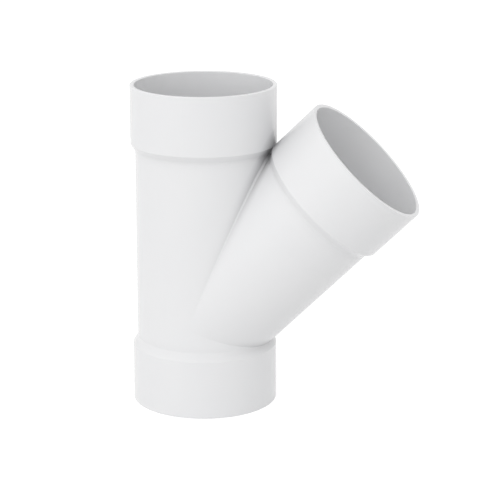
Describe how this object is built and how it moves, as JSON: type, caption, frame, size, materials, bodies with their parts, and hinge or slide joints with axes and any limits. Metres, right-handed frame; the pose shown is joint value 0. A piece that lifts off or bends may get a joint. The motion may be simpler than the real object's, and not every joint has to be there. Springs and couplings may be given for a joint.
{
  "type": "lateral wye pipe fitting",
  "caption": "Lateral wye drainage fitting: a straight run with a branch of the same bore leaving at 45 degrees, and a plain glue socket with a pipe stop at every end.",
  "frame": {"origin": "centre of the lower socket's mouth, on the axis of the run", "axes": "+Z along the run from its lower socket to its upper one; +X is the side to which the branch leans; the XZ plane is the plane of the two axes"},
  "size_m": [0.2322, 0.117, 0.2605],
  "materials": {
    "white_pvc": "smooth moulded, between satin and gloss"
  },
  "bodies": {
    "root": {"wye_fitting": "white_pvc"}
  },
  "joints": []
}
